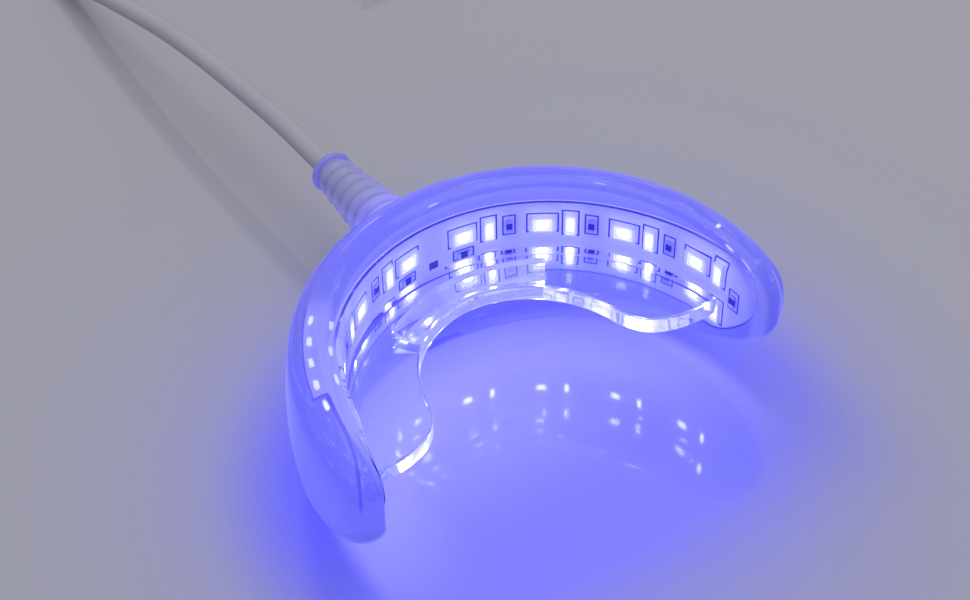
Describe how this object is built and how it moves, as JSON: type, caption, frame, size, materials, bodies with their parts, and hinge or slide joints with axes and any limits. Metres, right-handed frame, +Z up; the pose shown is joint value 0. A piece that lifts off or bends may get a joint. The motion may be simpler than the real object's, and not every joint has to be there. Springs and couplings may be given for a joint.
{
  "type": "led teeth whitening light",
  "caption": "Clear U-shaped mouthpiece with a bite plate, a lit circuit sealed in its wall and a ribbed strain relief, on a thin cord with a plug.",
  "frame": {"origin": "under the middle of the mouthpiece with its strain relief, at the height of the surface it stands on", "axes": "+Z up, +Y out of the mouth along the strain relief, +X to the wearer's right"},
  "size_m": [0.0812, 0.1933, 0.0243],
  "materials": {
    "silicone": "clear silicone, glossy, lit blue from inside",
    "liner": "clear silicone, glossy",
    "circuit_film": "white film with printed outlines",
    "led": "lit blue-white",
    "resistor": "dark body with tinned ends",
    "relief": "clear silicone, ribbed",
    "cord_jacket": "pale grey, satin",
    "wire_red": "insulation",
    "wire_black": "insulation",
    "plug_plastic": "satin",
    "plug_steel": "nickel-plated",
    "plug_insulator": "white insulator"
  },
  "bodies": {
    "root": {"outer_shell": "silicone", "bite_tray": "liner", "flex_circuit": "circuit_film", "strain_relief": "relief", "cable_run": "cord_jacket", "cable_coil": "cord_jacket", "wire_positive": "wire_red", "wire_negative": "wire_black", "plug_body": "plug_plastic", "plug_shell": "plug_steel", "plug_tongue": "plug_insulator", "led_01": "led", "led_02": "led", "led_03": "led", "led_04": "led", "led_05": "led", "led_06": "led", "led_07": "led", "led_08": "led", "led_09": "led", "led_10": "led", "led_11": "led", "led_12": "led", "led_13": "led", "led_14": "led", "led_15": "led", "led_16": "led", "led_17": "led", "led_18": "led", "led_19": "led", "led_20": "led", "led_21": "led", "led_22": "led", "led_23": "led", "led_24": "led", "led_25": "led", "led_26": "led", "led_27": "led", "led_28": "led", "led_29": "led", "led_30": "led", "led_31": "led", "led_32": "led", "resistor_01": "resistor", "resistor_02": "resistor", "resistor_03": "resistor", "resistor_04": "resistor", "resistor_05": "resistor", "resistor_06": "resistor", "resistor_07": "resistor", "resistor_08": "resistor", "resistor_09": "resistor", "resistor_10": "resistor", "resistor_11": "resistor", "resistor_12": "resistor", "resistor_13": "resistor", "resistor_14": "resistor", "resistor_15": "resistor", "resistor_16": "resistor"}
  },
  "joints": []
}
